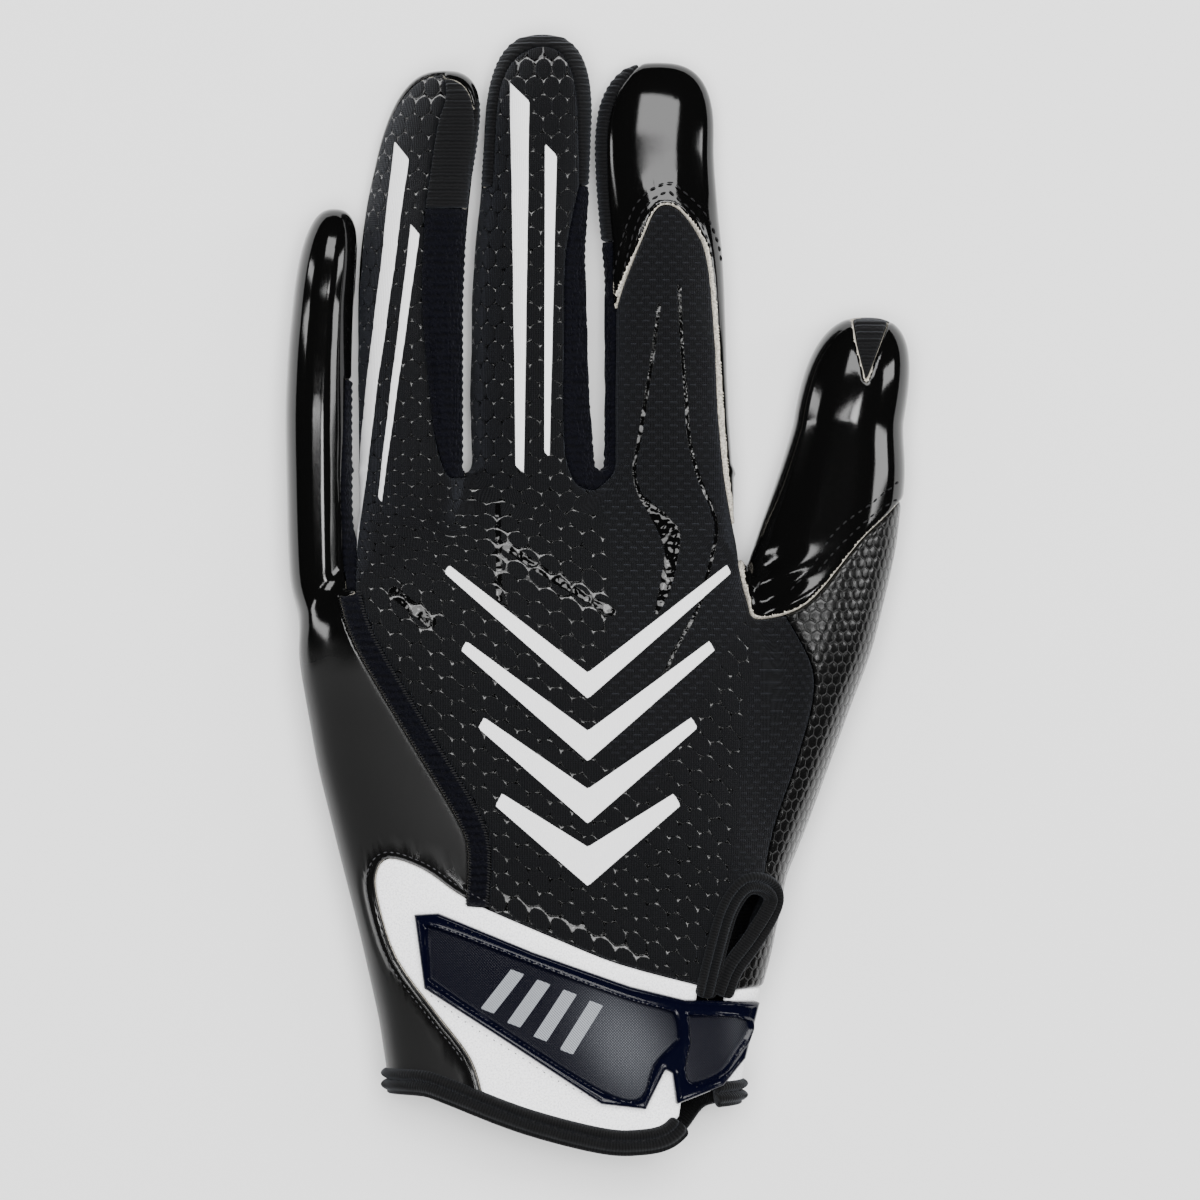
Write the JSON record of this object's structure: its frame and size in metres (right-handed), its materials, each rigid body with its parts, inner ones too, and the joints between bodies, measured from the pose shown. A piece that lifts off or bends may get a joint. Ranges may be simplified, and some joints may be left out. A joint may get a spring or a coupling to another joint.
{
  "type": "football receiver glove",
  "caption": "Left-hand receiver glove lying palm down: glossy film palm, thumb and little finger, knit back, ribbed finger sides, white wrist band and a moulded strap across a slit.",
  "frame": {"origin": "below the middle of the glove's outer box, on the surface it rests on", "axes": "+Y from the cuff to the fingertips, +X towards the thumb, +Z from the palm to the back of the hand"},
  "size_m": [0.134, 0.2402, 0.0276],
  "materials": {
    "film": "high gloss silicone film, satin on the heel",
    "hex_film": "glossy film embossed with a fine hexagon pattern",
    "knit": "matt ribbed knit in small pads over glossy film",
    "terry": "matt navy terry",
    "rib": "matt black cross ribbed elastic",
    "neoprene": "smooth white stretch foam fabric",
    "strap": "moulded satin with raised glossy rims"
  },
  "bodies": {
    "root": {"palm_panel": "film", "palm_panel_pinky": "film", "palm_panel_ring": "film", "palm_panel_middle": "film", "palm_panel_index": "film", "back_panel": "knit", "back_panel_ring": "knit", "back_panel_middle": "knit", "back_panel_index": "knit", "thumb_panel": "film", "thumb_base_panel": "hex_film", "fourchette_pinky_ring": "terry", "fourchette_ring_middle": "terry", "fourchette_middle_index": "terry", "tip_gusset_ring": "rib", "tip_gusset_middle": "rib", "tip_gusset_index": "rib", "tip_gusset_thumb": "rib", "ulnar_seam_tape": "terry", "cuff_band": "neoprene", "cuff_band_thumb_side": "neoprene", "cuff_binding": "rib", "slit_binding": "rib", "closure_strap": "strap"}
  },
  "joints": []
}
